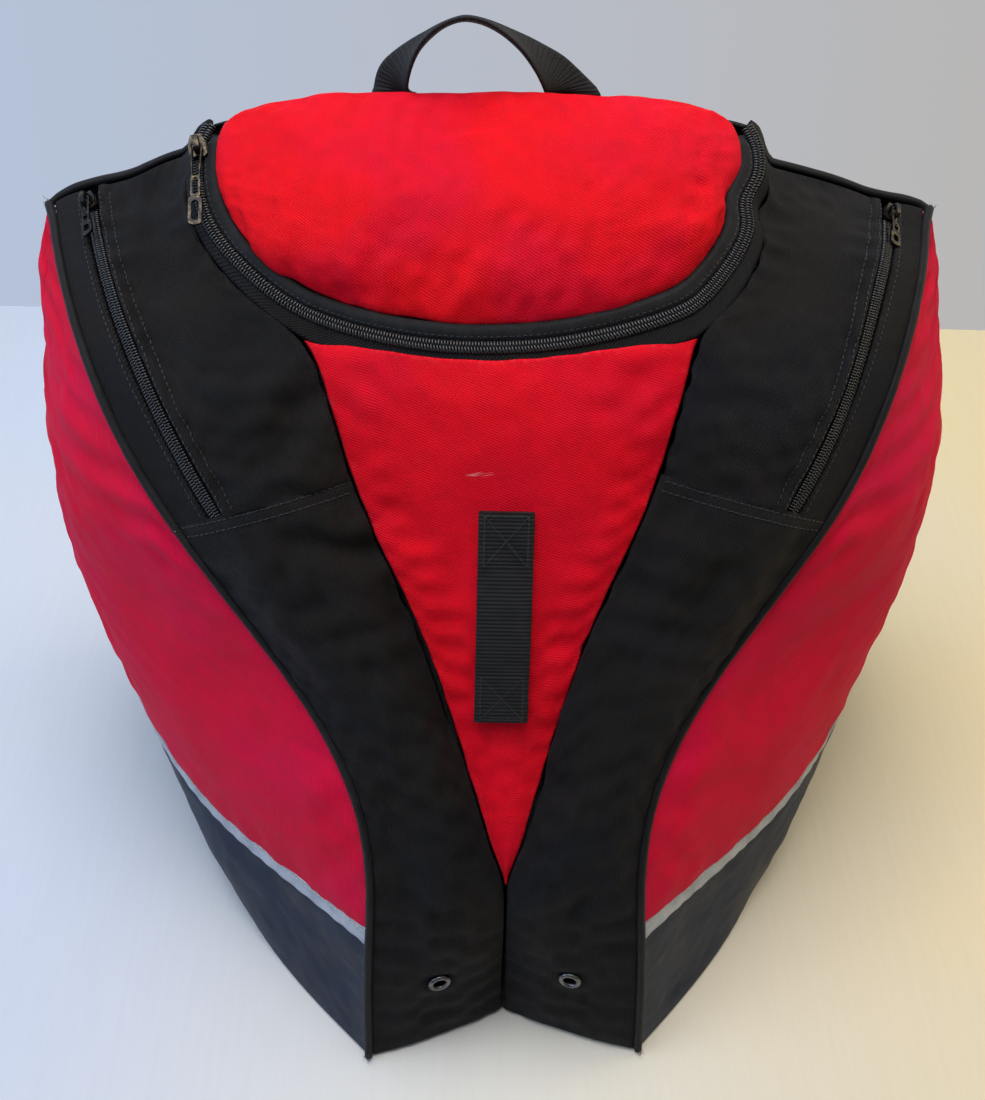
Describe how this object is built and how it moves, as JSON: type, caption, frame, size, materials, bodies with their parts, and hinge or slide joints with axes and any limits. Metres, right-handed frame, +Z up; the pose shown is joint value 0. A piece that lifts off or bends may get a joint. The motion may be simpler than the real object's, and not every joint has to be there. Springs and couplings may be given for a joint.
{
  "type": "ski boot bag",
  "caption": "Backpack-style bag with two side boot compartments that meet at the toes, a domed zip lid over a centre helmet compartment, side zips and a padded harness.",
  "frame": {"origin": "on the floor, centre of the base panel, halfway between the front bottom corners and the back panel", "axes": "+Z up, +Y towards the back with the harness, +X to the right seen from the front"},
  "size_m": [0.5148, 0.3574, 0.4631],
  "materials": {
    "red_fabric": "matte",
    "black_fabric": "matte",
    "coated_fabric": "satin",
    "reflective_tape": "satin",
    "piping": "satin",
    "zip_tape": "matte",
    "zip_coil": "gloss",
    "zip_metal": "gunmetal, worn",
    "eyelet_metal": "gunmetal",
    "buckle_plastic": "matte",
    "board_plastic": "matte",
    "lining_fabric": "matte",
    "padded_mesh": "matte mesh",
    "webbing": "matte"
  },
  "bodies": {
    "bag": {"back_panel": "black_fabric", "base_board": "board_plastic", "base_panel": "coated_fabric", "body_zip_coil": "zip_coil", "body_zip_tape": "zip_tape", "frame_sheet": "board_plastic", "front_panel": "red_fabric", "front_webbing_loop": "webbing", "handle_anchor_tabs": "webbing", "harness_yoke": "webbing", "left_anchor_tab": "webbing", "left_back_pad": "padded_mesh", "left_back_piping": "piping", "left_divider": "lining_fabric", "left_eyelet": "eyelet_metal", "left_lower_side_panel": "coated_fabric", "left_lower_webbing": "webbing", "left_piping": "piping", "left_reflective_strip": "reflective_tape", "left_shoulder_panel": "black_fabric", "left_shoulder_strip": "black_fabric", "left_side_panel": "red_fabric", "left_side_zip_coil": "zip_coil", "left_side_zip_tape": "zip_tape", "left_toe_panel": "black_fabric", "lid_fold_band": "red_fabric", "lumbar_pad": "padded_mesh", "right_anchor_tab": "webbing", "right_back_pad": "padded_mesh", "right_back_piping": "piping", "right_divider": "lining_fabric", "right_eyelet": "eyelet_metal", "right_lower_side_panel": "coated_fabric", "right_lower_webbing": "webbing", "right_piping": "piping", "right_reflective_strip": "reflective_tape", "right_shoulder_panel": "black_fabric", "right_shoulder_strip": "black_fabric", "right_side_panel": "red_fabric", "right_side_zip_coil": "zip_coil", "right_side_zip_tape": "zip_tape", "right_toe_panel": "black_fabric"},
    "lid": {"lid_panel": "red_fabric", "lid_zip_binding": "zip_tape", "lid_zip_coil": "zip_coil"},
    "lid_slider": {"lid_slider": "zip_metal"},
    "lid_pull": {"lid_pull": "zip_metal"},
    "left_side_slider": {"left_side_slider": "zip_metal"},
    "left_side_pull": {"left_side_pull": "zip_metal"},
    "right_side_slider": {"right_side_slider": "zip_metal"},
    "right_side_pull": {"right_side_pull": "zip_metal"},
    "grab_handle": {"grab_handle": "webbing"},
    "left_strap": {"left_shoulder_strap": "padded_mesh", "left_ladder_lock": "buckle_plastic", "left_webbing_tail": "webbing"},
    "right_strap": {"right_shoulder_strap": "padded_mesh", "right_ladder_lock": "buckle_plastic", "right_webbing_tail": "webbing"}
  },
  "joints": [
    {"name": "lid_hinge", "type": "hinge", "parent": "bag", "child": "lid", "pos_m": [0, 0.1553, 0.4308], "axis": [-1, 0, 0], "range_deg": [0, 95]},
    {"name": "lid_slider_travel", "type": "slide", "parent": "lid", "child": "lid_slider", "axis": [0.1858, -0.8635, -0.4689], "range_m": [0, 0.04]},
    {"name": "lid_pull_hinge", "type": "hinge", "parent": "lid_slider", "child": "lid_pull", "pos_m": [-0.14151, 0.13814, 0.41331], "axis": [-0.9996, -0.0248, -0.0135], "range_deg": [0, 150]},
    {"name": "handle_hinge", "type": "hinge", "parent": "bag", "child": "grab_handle", "pos_m": [0, 0.1699, 0.4225], "axis": [-1, 0, 0], "range_deg": [0, 95]},
    {"name": "left_side_slider_travel", "type": "hinge", "parent": "bag", "child": "left_side_slider", "pos_m": [-0.10116, 0.20923, 0.17265], "axis": [0.8607, 0.1102, 0.4971], "range_deg": [0, 40.85]},
    {"name": "left_side_pull_hinge", "type": "hinge", "parent": "left_side_slider", "child": "left_side_pull", "pos_m": [-0.21322, 0.14367, 0.38112], "axis": [-0.8473, -0.1025, -0.5212], "range_deg": [0, 150]},
    {"name": "right_side_slider_travel", "type": "hinge", "parent": "bag", "child": "right_side_slider", "pos_m": [0.10116, 0.20923, 0.17265], "axis": [0.8607, -0.1102, -0.4971], "range_deg": [0, 40.85]},
    {"name": "right_side_pull_hinge", "type": "hinge", "parent": "right_side_slider", "child": "right_side_pull", "pos_m": [0.21322, 0.14367, 0.38112], "axis": [-0.8473, 0.1025, 0.5212], "range_deg": [0, 150]},
    {"name": "left_strap_swing", "type": "hinge", "parent": "bag", "child": "left_strap", "pos_m": [0, 0.1704, 0.4005], "axis": [1, 0, 0], "range_deg": [0, 35]},
    {"name": "right_strap_swing", "type": "hinge", "parent": "bag", "child": "right_strap", "pos_m": [0, 0.1704, 0.4005], "axis": [1, 0, 0], "range_deg": [0, 35]}
  ]
}
